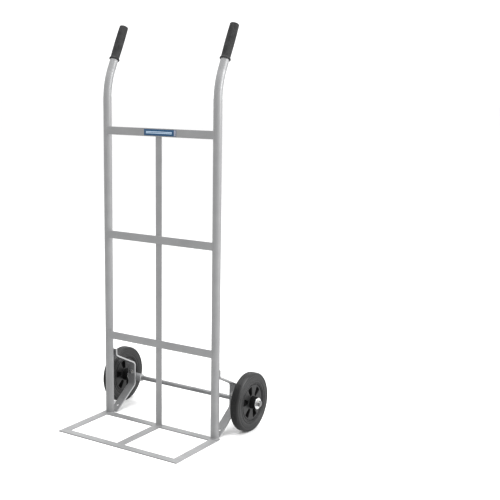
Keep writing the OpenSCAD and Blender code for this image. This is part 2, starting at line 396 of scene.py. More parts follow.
def grip_rubber():
    """Black moulded rubber, matt, with a fine pebbled skin."""
    material, tree, shader = start_material("grip_rubber", (0.024, 0.024, 0.0247), 0.6)
    shader.inputs["Specular IOR Level"].default_value = 0.14
    here = object_coordinates(tree)
    wear = noise(tree, here, 45, 4)
    tone = ramp(tree, wear, [(0.35, (0.015, 0.015, 0.0156)), (0.7, (0.042, 0.042, 0.0429))])
    tree.links.new(tone, shader.inputs["Base Color"])
    tree.links.new(spread(tree, wear, 0.46, 0.64), shader.inputs["Roughness"])
    bump(tree, shader, [(noise(tree, here, 1900, 3), 0.35, 0.00015)])
    return material


def tyre_rubber():
    """Dark grey solid rubber with a dusty bloom."""
    material, tree, shader = start_material("tyre_rubber", (0.009, 0.0092, 0.0098), 0.42)
    shader.inputs["Specular IOR Level"].default_value = 0.46
    here = object_coordinates(tree)
    dust = noise(tree, here, 28, 5)
    tone = ramp(tree, dust, [(0.35, (0.005, 0.0051, 0.0055)), (0.7, (0.014, 0.0142, 0.0148))])
    tree.links.new(tone, shader.inputs["Base Color"])
    tree.links.new(spread(tree, dust, 0.34, 0.5), shader.inputs["Roughness"])
    bump(tree, shader, [
        (noise(tree, here, 1400, 3), 0.3, 0.0002),
        (noise(tree, here, 160, 3), 0.15, 0.0004),
    ])
    return material


def rim_plastic():
    """Black moulded plastic with a satin skin and faint flow marks."""
    material, tree, shader = start_material("rim_plastic", (0.014, 0.014, 0.0145), 0.36)
    shader.inputs["Specular IOR Level"].default_value = 0.35
    here = object_coordinates(tree)
    flow = noise(tree, object_coordinates(tree, (20, 60, 60)), 1.0, 4)
    tone = ramp(tree, flow, [(0.35, (0.01, 0.01, 0.0105)), (0.7, (0.02, 0.02, 0.0205))])
    tree.links.new(tone, shader.inputs["Base Color"])
    tree.links.new(spread(tree, flow, 0.3, 0.46), shader.inputs["Roughness"])
    bump(tree, shader, [(noise(tree, here, 1100, 2), 0.18, 0.00015)])
    return material


def rim_recess():
    """Painted shade: the same plastic, darker, rougher and duller, deep in the pockets and on the hub.
    """
    material, tree, shader = start_material("rim_recess", (0.005, 0.005, 0.0052), 0.7)
    shader.inputs["Specular IOR Level"].default_value = 0.12
    here = object_coordinates(tree)
    shade_mottle = noise(tree, here, 90, 4)
    tone = ramp(tree, shade_mottle, [(0.35, (0.0035, 0.0035, 0.0037)), (0.7, (0.009, 0.009, 0.0092))])
    tree.links.new(tone, shader.inputs["Base Color"])
    tree.links.new(spread(tree, shade_mottle, 0.62, 0.8), shader.inputs["Roughness"])
    bump(tree, shader, [(noise(tree, here, 900, 2), 0.25, 0.0002)])
    return material


def nylon():
    material, tree, shader = start_material("nylon", (0.72, 0.7, 0.64), 0.42)
    here = object_coordinates(tree)
    tone = ramp(tree, noise(tree, here, 80, 3), [(0.3, (0.66, 0.64, 0.58)), (0.7, (0.76, 0.74, 0.69))])
    tree.links.new(tone, shader.inputs["Base Color"])
    tree.links.new(spread(tree, noise(tree, here, 300, 2), 0.36, 0.5), shader.inputs["Roughness"])
    bump(tree, shader, [(noise(tree, here, 900, 2), 0.15, 0.0001)])
    return material


def label_print(name, low_tone, high_tone):
    """Semi-gloss printed plate with a faint grain in its ink."""
    material, tree, shader = start_material(name, high_tone, 0.3)
    here = object_coordinates(tree)
    grain = noise(tree, here, 700, 3)
    tree.links.new(ramp(tree, grain, [(0.3, low_tone), (0.7, high_tone)]), shader.inputs["Base Color"])
    tree.links.new(spread(tree, noise(tree, here, 90, 3), 0.24, 0.4), shader.inputs["Roughness"])
    bump(tree, shader, [(grain, 0.08, 0.0001)])
    return material


PAINT = satin_paint("frame_paint", (0.3, 0.302, 0.306), (0.345, 0.347, 0.351))
# The brackets' side faces, turned along X, are painted lighter: a painted highlight from the light on
# the right
BRACKET_PAINT = satin_paint(
    "bracket_paint", (0.18, 0.182, 0.186), (0.235, 0.237, 0.241), painted_side_tone=(0.46, 0.462, 0.466),
)
# The toe bars' front and back faces, turned along Y, are painted darker: painted shade
TOE_PAINT = satin_paint(
    "toe_paint", (0.272, 0.274, 0.278), (0.313, 0.315, 0.319), (0.18, 0.182, 0.185), "Y",
)
STEEL = axle_steel()
ZINC = zinc_plate("zinc_plate", 0.82)
# A darker copy of the same zinc plate for the nuts and bolts: painted shade
SHADED_ZINC = zinc_plate("nut_zinc_painted_shade", 0.32)
GRIP = grip_rubber()
TYRE = tyre_rubber()
RIM = rim_plastic()
# Darker plastic deep in the pockets and on the hub: painted shade
RIM_PAINTED_SHADE = rim_recess()
NYLON = nylon()
WELD = PAINT
LABEL_BLUE = label_print("label_blue", (0.005, 0.054, 0.135), (0.008, 0.075, 0.175))
LABEL_LIGHT = label_print("label_light", (0.5, 0.66, 0.84), (0.58, 0.73, 0.9))
LABEL_GREY = label_print("label_grey", (0.3, 0.31, 0.38), (0.36, 0.37, 0.44))


# ---------------------------------------------------------------- CAD nodes that stay

SLOT_MATERIALS = {
    "frame_paint": PAINT,
    "axle_steel": STEEL,
    "zinc": ZINC,
    "grip_rubber": GRIP,
    "tyre": TYRE,
    "rim_plastic": RIM,
    "bush": NYLON,
    "label": LABEL_BLUE,
}


STEEL_SLOTS = ("frame_paint", "axle_steel", "zinc")
STEEL_EDGE_R = 0.45 * MM


def dress_cad_nodes():
    """Gives every CAD node its material, and softens the edges of the steel parts."""
    slots = {row["node"]: row["material_slot"] for row in frame["record"]["subparts"]}
    for name, cad in nodes.items():
        cad.data.materials.clear()
        material = SLOT_MATERIALS[slots[name]]
        if name.startswith(("wheel_bracket", "axle_lug")):
            material = BRACKET_PAINT
        elif name.startswith("toe_"):
            material = TOE_PAINT
        cad.data.materials.append(material)
        if slots[name] in STEEL_SLOTS:
            weld = cad.modifiers.new("join_faces", "WELD")
            weld.merge_threshold = 0.01 * MM
            edge = cad.modifiers.new("soft_edges", "BEVEL")
            edge.width = STEEL_EDGE_R
            edge.segments = 3
            edge.limit_method = "ANGLE"
            edge.angle_limit = math.radians(40)
            edge.use_clamp_overlap = True
            edge.harden_normals = True


dress_cad_nodes()


# ---------------------------------------------------------------- grips

HANDLE_ANGLE = math.radians(26.5)
GRIP_LENGTH = 125 * MM
GRIP_BODY_R = 15.4 * MM
GRIP_SWELL = 0.7 * MM
GRIP_RINGS = 44
GRIP_FLUTES = 18
STEPS_PER_FLUTE = 10
FLUTE_DEPTH = 0.8 * MM
# Share of the fluted stretch over which the flutes fade in, and out again
FLUTE_FADE = 1 / 12


def grip_place(side_name):
    """Z along the handle, from the grip's lower end, and the radius of the grip's flange."""
    low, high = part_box("grip_" + side_name)
    flange_r = (high.x - low.x) / 2
    start = Vector((
        (low.x + high.x) / 2,
        low.y + flange_r * math.cos(HANDLE_ANGLE),
        low.z + flange_r * math.sin(HANDLE_ANGLE),
    ))
    return Matrix.Translation(start) @ Matrix.Rotation(-HANDLE_ANGLE, 4, "X"), flange_r


def fluted(radius, height, depth):
    """A ring with shallow lengthwise flutes."""
    return lambda angle: (radius - depth * (0.5 - 0.5 * math.cos(GRIP_FLUTES * angle)) ** 2, height)


def make_grip(side_name):
    place, flange_r = grip_place(side_name)
    body_r = GRIP_BODY_R
    cap_t = 4 * MM
    flange_t = 6 * MM
    body_start = flange_t + 5 * MM
    body_end = GRIP_LENGTH - 9 * MM
    bore_r = TUBE_R + 0.03 * MM
    mouth = 0.6 * MM
    profile = [
        plain(0, GRIP_LENGTH - cap_t),
        plain(bore_r, GRIP_LENGTH - cap_t),
        plain(bore_r, mouth),
        plain(bore_r + mouth, 0),
    ]
    profile += rounded([
        (bore_r + mouth, 0, 0),
        (flange_r, 0, 2 * MM),
        (flange_r, flange_t * 0.8, 2.4 * MM),
        (body_r + 0.2 * MM, flange_t + 1.5 * MM, 2.5 * MM),
        (body_r, body_start, 0),
    ])[1:]
    for i in range(1, GRIP_RINGS):
        t = i / GRIP_RINGS
        height = body_start + (body_end - body_start) * t
        swell = GRIP_SWELL * math.sin(math.pi * t) ** 1.2
        fade = ease(t / FLUTE_FADE) * ease((1 - t) / FLUTE_FADE)
        profile.append(fluted(body_r + swell, height, FLUTE_DEPTH * fade))
    profile += rounded([
        (body_r, body_end, 0),
        (body_r, body_end + 1.2 * MM, 0.5 * MM),
        (body_r - 0.5 * MM, body_end + 1.8 * MM, 0.5 * MM),
        (body_r - 0.3 * MM, body_end + 3 * MM, 0.8 * MM),
        (body_r - 0.3 * MM, GRIP_LENGTH, 6 * MM),
        (5 * MM, GRIP_LENGTH + 0.2 * MM, 0),
    ], 7)
    profile.append(plain(0, GRIP_LENGTH + 0.3 * MM))
    shell = (profile, GRIP_FLUTES * STEPS_PER_FLUTE, place)
    grip = joined_shells("grip_sleeve_" + side_name, [shell], GRIP, "frame", 50)
    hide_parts("grip_" + side_name)


# ---------------------------------------------------------------- tyres

SHOULDER_R = 7 * MM
TYRE_STEPS = 240
TREAD_STEPS = 132
GROOVES = 8
GROOVE_DEPTH = 1.1 * MM
# Half of a groove's width, as a share of the distance between grooves
GROOVE_HALF_W = 0.2
# Where the first groove lies, as a share of the way from one sidewall round to the other
FIRST_GROOVE = 0.26


def groove_dip(t):
    """How deep the tread is cut at a share t of the way from one sidewall to the other."""
    share = (t - FIRST_GROOVE) / (1 - 2 * FIRST_GROOVE)
    if not 0 <= share <= 1:
        return 0.0
    spacings = share * (GROOVES - 1)
    off_middle = abs(spacings - round(spacings))
    return GROOVE_DEPTH * (1 - ease(off_middle / GROOVE_HALF_W))


def tread(outer_r, half_w):
    """Rings over one shoulder, the grooved tread and the other shoulder."""
    centre_r = outer_r - SHOULDER_R
    centre_h = half_w - SHOULDER_R
    arc_length = SHOULDER_R * math.pi / 2
    total = 2 * (arc_length + centre_h)
    rings = []
    for i in range(TREAD_STEPS + 1):
        t = i / TREAD_STEPS
        s = t * total
        if s < arc_length:
            angle = s / SHOULDER_R
            height = centre_h
        elif s < arc_length + 2 * centre_h:
            angle = math.pi / 2
            height = centre_h - (s - arc_length)
        else:
            angle = math.pi / 2 + (s - arc_length - 2 * centre_h) / SHOULDER_R
            height = -centre_h
        reach = SHOULDER_R - groove_dip(t)
        rings.append(plain(centre_r + reach * math.sin(angle), height + reach * math.cos(angle)))
    return rings


def tyre_profile(outer_r, half_w, seat_r):
    """Round the section of a solid tyre: bead, sidewall with a fine groove, shoulder and tread."""
    centre_r = outer_r - SHOULDER_R
    side = rounded([
        (seat_r, half_w - 3.4 * MM, 0),
        (seat_r, half_w - 0.9 * MM, 0.9 * MM),
        (seat_r + 3.2 * MM, half_w - 0.2 * MM, 1.2 * MM),
        (seat_r + 5 * MM, half_w - 1.6 * MM, 1 * MM),
        (seat_r + 8 * MM, half_w - 1.6 * MM, 1 * MM),
        (seat_r + 9.5 * MM, half_w, 1.2 * MM),
        (centre_r - 6 * MM, half_w, 0.6 * MM),
        (centre_r - 5.2 * MM, half_w - 0.7 * MM, 0.6 * MM),
        (centre_r - 3.4 * MM, half_w - 0.7 * MM, 0.6 * MM),
        (centre_r - 2.6 * MM, half_w, 0.6 * MM),
        (centre_r - 0.8 * MM, half_w, 0),
    ], 4)
    other_side = [(ring(0)[0], -ring(0)[1]) for ring in reversed(side)]
    return side + tread(outer_r, half_w) + [plain(*point) for point in other_side]


def make_tyre(side_name):
    low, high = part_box("tyre_" + side_name)
    place = on_axle(SIDES[side_name], abs(low.x + high.x) / 2)
    profile = tyre_profile((high.z - low.z) / 2, (high.x - low.x) / 2, SEAT_R)
    shell = (profile, TYRE_STEPS, place)
    tyre = joined_shells("solid_tyre_" + side_name, [shell], TYRE, "wheel_" + side_name, 40)
    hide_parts("tyre_" + side_name)


# ---------------------------------------------------------------- rims

# Heights are from the rim's middle plane. A pair is a value at the inner and at the outer end
POCKETS = 6
POCKET_PHASE = math.radians(-12)
POCKET_R = (25 * MM, 56 * MM)
POCKET_HALF_W = (6 * MM, 13 * MM)
POCKET_SQUARENESS = 7
HUB_R = 21 * MM
BORE_R = 12 * MM
RIM_HALF_W = 14 * MM
FACE_H = 12.8 * MM
FLOOR_H = 2 * MM
DISC_R = (22.2 * MM, 59.5 * MM)
ARC_STEPS = 16
RADIAL_STEPS = 10
RIM_STEPS = ARC_STEPS * POCKETS
# How many bands of faces, from a pocket's floor upwards, take the darker plastic as painted shade
SHADED_BANDS = 3
# Rings on the face round a pocket, as shares of the way from its mouth to the sector's edge
FACE_SHARES = (0.35, 0.7, 1.0)


def square_perimeter():
    """Points round a square from -1 to 1, as (along the radius, across it)."""
    points = []
    for i in range(ARC_STEPS):
        points.append((-1, -1 + 2 * i / ARC_STEPS))
    for i in range(RADIAL_STEPS):
        points.append((-1 + 2 * i / RADIAL_STEPS, 1))
    for i in range(ARC_STEPS):
        points.append((1, 1 - 2 * i / ARC_STEPS))
    for i in range(RADIAL_STEPS):
        points.append((1 - 2 * i / RADIAL_STEPS, -1))
    return points


def pocket_point(u, v, inset):
    """A place on the pocket's outline, moved inwards by inset, as (radius, angle). u runs along
    the radius and v across it, each from -1 to 1."""
    power = POCKET_SQUARENESS
    size = (abs(u) ** power + abs(v) ** power) ** (1 / power)
    u, v = u / size, v / size
    half_length = (POCKET_R[1] - POCKET_R[0]) / 2
    along = (POCKET_R[0] + POCKET_R[1]) / 2 + u * (half_length - inset)
    share = (along - POCKET_R[0]) / (2 * half_length)
    half_w = POCKET_HALF_W[0] + share * (POCKET_HALF_W[1] - POCKET_HALF_W[0])
    across = v * (half_w - inset)
    return math.hypot(along, across), math.atan2(across, along)


def sector_rings():
    """The rings of one sector, from the pocket's floor out to the sector's edge, as lists of
    (radius, angle, height)."""
    walls = [
        (2.1 * MM, FLOOR_H),
        (1.5 * MM, FLOOR_H + 0.3 * MM),
        (1.05 * MM, FLOOR_H + 1.4 * MM),
        (0.3 * MM, FACE_H - 1.4 * MM),
        (0.1 * MM, FACE_H - 0.6 * MM),
        (-0.3 * MM, FACE_H - 0.15 * MM),
        (-1.0 * MM, FACE_H),
    ]
    perimeter = square_perimeter()
    rings = []
    for inset, height in walls:
        ring = []
        for u, v in perimeter:
            radius, angle = pocket_point(u, v, inset)
            ring.append((radius, angle, height))
        rings.append(ring)
    mouth = rings[-1]
    for share in FACE_SHARES:
        ring = []
        for (u, v), (radius, angle, _) in zip(perimeter, mouth):
            edge_r = DISC_R[0] + (DISC_R[1] - DISC_R[0]) * (u + 1) / 2
            edge_angle = v * math.pi / POCKETS
            ring.append((
                radius + (edge_r - radius) * share,
                angle + (edge_angle - angle) * share,
                FACE_H,
            ))
        rings.append(ring)
    return rings


def add_sector(vertices, faces, rings, centre, face_side):
    """Adds one sector of one side of a rim, and returns the numbers of its faces that take the painted
    shade.
    """
    count = len(rings[0])
    starts = []
    for ring in rings:
        starts.append(len(vertices))
        for radius, angle, height in ring:
            vertices.append(around(radius, centre + angle, height * face_side))
    shaded_faces = [len(faces)]
    faces.append(tuple(starts[0] + i for i in range(count)))
    for band, (inner, outer) in enumerate(zip(starts, starts[1:])):
        for i in range(count):
            if band < SHADED_BANDS:
                shaded_faces.append(len(faces))
            j = (i + 1) % count
            faces.append((inner + i, inner + j, outer + j, outer + i))
    return shaded_faces


def add_strip(vertices, faces, profile, first_angle):
    """Adds an open strip turned about Z."""
    starts = []
    for radius, height in profile:
        starts.append(len(vertices))
        for i in range(RIM_STEPS):
            vertices.append(around(radius, first_angle + 2 * math.pi * i / RIM_STEPS, height))
    for low, high in zip(starts, starts[1:]):
        for i in range(RIM_STEPS):
            j = (i + 1) % RIM_STEPS
            faces.append((low + i, low + j, high + j, high + i))


def hub_wall(end):
    """From a rim's face up its hub to the height where the hub ends, and into the bore."""
    return rounded([
        (DISC_R[0], FACE_H, 0),
        (HUB_R + 0.4 * MM, FACE_H + 0.2 * MM, 0.8 * MM),
        (HUB_R - 0.4 * MM, end - 0.4 * MM, 1.1 * MM),
        (HUB_R - 2.5 * MM, end, 0.6 * MM),
        (BORE_R + 2 * MM, end, 0.3 * MM),
        (BORE_R, end - 0.5 * MM, 0),
    ], 4)


def lip():
    """From a rim's face out over its lip to the tyre's seat."""
    return rounded([
        (DISC_R[1], FACE_H, 0),
        (DISC_R[1] + 0.9 * MM, FACE_H, 0.8 * MM),
        (DISC_R[1] + 1.7 * MM, FACE_H - 2.2 * MM, 1.2 * MM),
        (SEAT_R - 4.6 * MM, FACE_H - 2.2 * MM, 1.2 * MM),
        (SEAT_R - 3.8 * MM, RIM_HALF_W, 1.2 * MM),
        (SEAT_R, RIM_HALF_W, 1 * MM),
        (SEAT_R, RIM_HALF_W - 3 * MM, 0),
    ], 4)


def both_sides(outer, inner):
    """Points of one rim profile from its outer half and the mirror image of its inner half."""
    points = [ring(0) for ring in outer]
    for ring in reversed(inner):
        radius, height = ring(0)
        points.append((radius, -height))
    return points


def make_rim(side_name):
    side = SIDES[side_name]
    tyre_x = abs(middle("tyre_" + side_name).x)
    low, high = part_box("rim_" + side_name)
    outer_end = max(abs(low.x), abs(high.x)) - tyre_x
    inner_end = tyre_x - min(abs(low.x), abs(high.x))
    # A pocket's angle is given in the YZ plane, from +Y towards +Z
    phase = math.pi / 2 + side * POCKET_PHASE
    first_angle = phase - math.pi / POCKETS
    sector = sector_rings()
    vertices = []
    faces = []
    shaded_faces = []
    for face_side in (1, -1):
        for i in range(POCKETS):
            centre = phase + 2 * math.pi * i / POCKETS
            shaded_faces += add_sector(vertices, faces, sector, centre, face_side)
    hub_start = len(faces)
    add_strip(vertices, faces, both_sides(hub_wall(outer_end), hub_wall(inner_end)), first_angle)
    # The hub's faces take the painted shade too
    shaded_faces += range(hub_start, len(faces))
    add_strip(vertices, faces, both_sides(lip(), lip()), first_angle)
    place = on_axle(side, tyre_x)
    rim = add_mesh(
        "wheel_rim_" + side_name, [place @ v for v in vertices], faces, RIM,
        "wheel_" + side_name,
    )
    # The pocket and hub faces get the darker plastic: painted shade
    rim.data.materials.append(RIM_PAINTED_SHADE)
    for index in shaded_faces:
        rim.data.polygons[index].material_index = 1
    join_doubles(rim)
    face_outwards(rim)
    sharpen(rim, 50)
    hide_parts("rim_" + side_name)


# ---------------------------------------------------------------- nuts and bolts

HEX_STEPS = 72
SHANK_STEPS = 48
SHARP_METAL = 25
CORNER_SLOPE = math.tan(math.radians(30))
BORE_CHAMFER = 0.8 * MM
AXLE_NUT_BORE_R = 6.02 * MM
# The lug bolts are M8
LUG_BOLT_R = 4 * MM
LUG_BOLT_PITCH = 1.25 * MM
LUG_BOLT_FLATS = 13 * MM
# A thread's depth, as a share of its pitch, and how many rings draw one turn of it
THREAD_DEPTH = 0.549
RINGS_PER_TURN = 8


def hex_radius(across_flats, angle):
    """How far a hexagon's edge is from its middle, at an angle."""
    wedge = (angle % (math.pi / 3)) - math.pi / 6
    return across_flats / 2 / math.cos(wedge)


def hexagon(across_flats, height, end, chamfer_r):
    """A ring on a hexagon. Its corners are cut back downwards for an end of 1, upwards for -1."""
    def ring(angle):
        radius = hex_radius(across_flats, angle)
        drop = max(0.0, radius - chamfer_r) * CORNER_SLOPE
        return radius, height - end * drop
    return ring


def nut_profile(across_flats, bore_r, low, high):
    """A nut with a chamfered bore, its corners turned down at both ends."""
    chamfer_r = across_flats / 2 * 0.97
    return [
        plain(bore_r, low + BORE_CHAMFER),
        plain(bore_r + BORE_CHAMFER, low),
        plain(chamfer_r, low),
        hexagon(across_flats, low, -1, chamfer_r),
        hexagon(across_flats, high, 1, chamfer_r),
        plain(chamfer_r, high),
        plain(bore_r + BORE_CHAMFER, high),
        plain(bore_r, high - BORE_CHAMFER),
    ]


def bolt_head_profile(across_flats, low, high):
    """A hexagon head, closed at both ends, chamfered at its low end."""
    chamfer_r = across_flats / 2 * 0.95
    crown_h = 0.15 * MM
    return [
        plain(0, low),
        plain(chamfer_r - 0.6 * MM, low),
        plain(chamfer_r, low + crown_h),
        hexagon(across_flats, low + crown_h, -1, chamfer_r),
        hexagon(across_flats, high, 0, chamfer_r),
        plain(0, high),
    ]


def threaded(radius, pitch, height):
    """A ring on a helical thread."""
    def ring(angle):
        phase = (height / pitch - angle / (2 * math.pi)) % 1.0
        return radius - THREAD_DEPTH * pitch * (1 - abs(2 * phase - 1)), height
    return ring


def shank_profile(radius, pitch, low, thread_low, high):
    """A bolt's shank, plain up to its thread and chamfered where it ends."""
    chamfer = 0.8 * pitch
    rise = pitch / RINGS_PER_TURN
    rings = int((high - chamfer - thread_low) / rise)
    profile = [plain(0, low), plain(radius, low), plain(radius, thread_low - pitch)]
    for i in range(rings + 1):
        profile.append(threaded(radius, pitch, thread_low + i * rise))
    profile.append(plain(radius - chamfer, high))
    profile.append(plain(0, high))
    return profile


def make_axle_nuts():
    low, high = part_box("axle_end_nuts")
    # Its flats face one way across the axle and its corners the other
    across_flats = min(high.y - low.y, high.z - low.z)
    inner_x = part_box("outer_axle_washers")[1].x
    profile = nut_profile(across_flats, AXLE_NUT_BORE_R, inner_x, high.x)
    shells = [(profile, HEX_STEPS, on_axle(side)) for side in SIDES.values()]
    nuts = joined_shells("hex_nuts_on_axle", shells, SHADED_ZINC, "frame", SHARP_METAL)
    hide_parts("axle_end_nuts")


def lug_bolt_places():
    """Z along each lug bolt, from front to back, at the middle plane Y = 0."""
    low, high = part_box("lug_bolt_washers")
    x = high.x - (high.z - low.z) / 2
    z = (low.z + high.z) / 2
    for side in SIDES.values():
        yield Matrix.Translation((x * side, 0, z)) @ Matrix.Rotation(-math.pi / 2, 4, "X")


def make_lug_fasteners():
    bolt_low, bolt_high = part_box("lug_bolts")
    nut_low, nut_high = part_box("lug_nuts")
    washer_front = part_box("lug_bolt_washers")[0].y
    head = bolt_head_profile(LUG_BOLT_FLATS, bolt_low.y, washer_front)
    shank_start = washer_front - 0.5 * MM
    thread_start = nut_low.y - 2 * LUG_BOLT_PITCH
    shank = shank_profile(LUG_BOLT_R, LUG_BOLT_PITCH, shank_start, thread_start, bolt_high.y)
    nut = nut_profile(LUG_BOLT_FLATS, LUG_BOLT_R + 0.02 * MM, nut_low.y, nut_high.y)
    bolts = []
    nuts = []
    for place in lug_bolt_places():
        bolts.append((head, HEX_STEPS, place))
        bolts.append((shank, SHANK_STEPS, place))
        nuts.append((nut, HEX_STEPS, place))
    bolt_piece = joined_shells("hex_bolts_in_lugs", bolts, SHADED_ZINC, "frame", SHARP_METAL)
    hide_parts("lug_bolts")
    nut_piece = joined_shells("hex_nuts_on_lugs", nuts, SHADED_ZINC, "frame", SHARP_METAL)
    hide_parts("lug_nuts")


# ---------------------------------------------------------------- weld beads

BEAD_SIDES = 10
BEAD_STEP = 0.45 * MM
RIPPLE = 1.7 * MM
# A bead's girth along its ripples, as shares of its radius
GIRTH_LOW = 0.9
GIRTH_RISE = 0.14
GIRTH_WANDER = 0.05
STEPS_PER_WANDER = 3
# A bead's ends are this share of its full girth, reached after a taper given in radii
END_SHARE = 0.45
TAPER = 1.6
# A direction that no bead runs in, to start its cross-section from
SKEWED = Vector((0.31, 0.44, 0.84))


def bead_along(vertices, faces, points, radius, seed):
    """A weld bead along a path: a round bar with ripples, thinner at its ends."""
    rng = random.Random(seed)
    lengths = [0.0]
    for a, b in zip(points, points[1:]):
        lengths.append(lengths[-1] + (b - a).length)
    total = lengths[-1]
    count = max(8, int(total / BEAD_STEP))
    wander = [rng.uniform(-1, 1) for _ in range(count // STEPS_PER_WANDER + 1)]
    rings = []
    for i in range(count + 1):
        s = total * i / count
        k = 0
        while k < len(points) - 2 and lengths[k + 1] < s:
            k += 1
        t = (s - lengths[k]) / (lengths[k + 1] - lengths[k])
        centre = points[k].lerp(points[k + 1], min(1.0, t))
        ahead = (points[k + 1] - points[k]).normalized()
        across = ahead.cross(SKEWED).normalized()
        up = ahead.cross(across)
        wave = (s / RIPPLE) % 1.0
        unevenness = GIRTH_WANDER * wander[i // STEPS_PER_WANDER]
        girth = radius * (GIRTH_LOW + GIRTH_RISE * wave + unevenness)
        girth *= END_SHARE + (1 - END_SHARE) * ease(min(s, total - s) / (TAPER * radius))
        ring = []
        for j in range(BEAD_SIDES):
            angle = 2 * math.pi * j / BEAD_SIDES
            ring.append(len(vertices))
            outwards = across * math.cos(angle) + up * math.sin(angle)
            vertices.append(centre + outwards * girth)
        rings.append(ring)
    for a, b in zip(rings, rings[1:]):
        for j in range(BEAD_SIDES):
            k = (j + 1) % BEAD_SIDES
            faces.append((a[j], a[k], b[k], b[j]))
    faces.append(tuple(reversed(rings[0])))
    faces.append(tuple(rings[-1]))


def make_beads(name, beads):
    """One piece from beads, each (path, radius)."""
    vertices = []
    faces = []
    for seed, (path, radius) in enumerate(beads):
        bead_along(vertices, faces, [Vector(point) for point in path], radius, name + str(seed))
    piece = add_mesh(name, vertices, faces, WELD, "frame")
    face_outwards(piece)


def level_path(x_low, x_high, y, z):
    """A path across the frame."""
    return [(x_low, y, z), (x_high, y, z)]


def upright_path(x, y, z_low, z_high):
    return [(x, y, z_low), (x, y, z_high)]


def arc_path(x, y, z, radius, first, last):
    """Points along a level arc, from one angle to another."""
    steps = 36
    points = []
    for i in range(steps + 1):
        angle = first + (last - first) * i / steps
        points.append((x + radius * math.cos(angle), y + radius * math.sin(angle), z))
    return points


def tube_front_y(x):
    """Where the front of a rail's tube is, at a distance from mid-width."""
    return -math.sqrt(max(0.0, TUBE_R ** 2 - (abs(x) - RAIL_X) ** 2))


def crossbar_welds():
    """Up each end of each crossbar, in front and behind."""
    bead_r = 1.5 * MM
    margin = 1 * MM
    beads = []
    for bar in BARS:
        low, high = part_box(bar)
        front_x = high.x + 0.4 * MM
        front_y = (low.y + tube_front_y(front_x)) / 2 + 0.7 * MM
        back_x = RAIL_X - math.sqrt(TUBE_R ** 2 - high.y ** 2) - 0.3 * MM
        back_y = high.y + 0.3 * MM
        for side in SIDES.values():
            for x, y in ((front_x, front_y), (back_x, back_y)):
                beads.append((upright_path(x * side, y, low.z + margin, high.z - margin), bead_r))
    return beads


def centre_bar_welds():
    """Round the centre bar where it lies behind each crossbar, and across its foot."""
    bead_r = 1.3 * MM
    foot_bead_r = 1.9 * MM
    beads = []
    low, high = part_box("centre_bar")
    for bar in BARS:
        bar_low, bar_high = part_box(bar)
        edges = [bar_low.z]
        if bar_high.z < high.z:
            edges.append(bar_high.z)
        for z in edges:
            beads.append((level_path(low.x + 1.5 * MM, high.x - 1.5 * MM, low.y, z), bead_r))
        for x in (low.x, high.x):
            top = min(bar_high.z - 3 * MM, high.z - 2 * MM)
            beads.append((upright_path(x, low.y + 0.2 * MM, bar_low.z + 3 * MM, top), bead_r))
    for y in (low.y, high.y):
        beads.append((level_path(low.x + MM, high.x - MM, y, low.z), foot_bead_r))
    return beads


def toe_welds():
    """Across each butt joint of the toe frame, and round each rail's foot up to the rear bar's edge."""
    bead_r = 1.5 * MM
    foot_bead_r = 1.9 * MM
    beads = []
    front_bar_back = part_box("toe_front_bar")[1].y
    rear_low, rear_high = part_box("toe_rear_bar")
    for bar in ("toe_left_bar", "toe_right_bar", "toe_centre_bar"):
        low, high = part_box(bar)
        for y in (front_bar_back, rear_low.y):
            path = level_path(low.x + 1.5 * MM, high.x - 1.5 * MM, y, high.z - bead_r / 2)
            beads.append((path, bead_r))
    reach = math.asin(rear_high.y / TUBE_R) - math.radians(4)
    for side in SIDES.values():
        foot = arc_path(
            RAIL_X * side, 0, RAIL_FOOT_Z + 0.3 * MM, TUBE_R + 0.2 * MM, -math.pi - reach, reach,
        )
        beads.append((foot, foot_bead_r))
    return beads


def bracket_welds():
    """Round each bracket's upper tab, and behind the tube in the notch just above its foot."""
    tab_bead_r = 1.7 * MM
    side_bead_r = 1.6 * MM
    foot_bead_r = 2.2 * MM
    foot_reach = math.radians(38)
    beads = []
    low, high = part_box("wheel_bracket_right")
    tab_y = low.y + 1.5 * MM
    tab_half = math.sqrt(TUBE_R ** 2 - low.y ** 2) + 1.2 * MM
    tab_low_z = high.z - 22 * MM
    inner_x = RAIL_X - tab_half
    outer_x = min(RAIL_X + tab_half, high.x)
    for side in SIDES.values():
        beads.append((level_path(inner_x * side, outer_x * side, tab_y, high.z), tab_bead_r))
        for x in (inner_x, outer_x):
            path = upright_path(x * side, tab_y - 0.4 * MM, tab_low_z, high.z)
            beads.append((path, side_bead_r))
        foot = arc_path(
            RAIL_X * side, 0, RAIL_FOOT_Z + 1.6 * MM, TUBE_R + 0.8 * MM,
            math.pi / 2 - foot_reach, math.pi / 2 + foot_reach,
        )
        beads.append((foot, foot_bead_r))
    return beads


# ---------------------------------------------------------------- label

def rounded_plate(name, low, high, corner_r, edge_r, material):
    """A thin upright plate facing the front, with rounded corners and softened edges."""
    steps = 8
    outline = []
    for cx, cz, start in (
        (high.x - corner_r, high.z - corner_r, 0),
        (low.x + corner_r, high.z - corner_r, 90),
        (low.x + corner_r, low.z + corner_r, 180),
        (high.x - corner_r, low.z + corner_r, 270),
    ):
        for i in range(steps + 1):
            angle = math.radians(start + 90 * i / steps)
            outline.append((cx, cz, math.cos(angle), math.sin(angle)))
    levels = [
        (high.y, 0.0),
        (low.y + edge_r, 0.0),
        (low.y + edge_r * 0.3, edge_r * 0.3),
        (low.y, edge_r),
    ]
    vertices = []
    faces = []
    count = len(outline)
    for y, inset in levels:
        for cx, cz, dx, dz in outline:
            vertices.append((cx + dx * (corner_r - inset), y, cz + dz * (corner_r - inset)))
    for level in range(len(levels) - 1):
        for i in range(count):
            j = (i + 1) % count
            faces.append((
                level * count + i, level * count + j,
                (level + 1) * count + j, (level + 1) * count + i,
            ))
    faces.append(tuple(range(count)))
    faces.append(tuple((len(levels) - 1) * count + i for i in range(count)))
    piece = add_mesh(name, vertices, faces, material, "frame")
    face_outwards(piece)
    sharpen(piece, 40)
    return piece


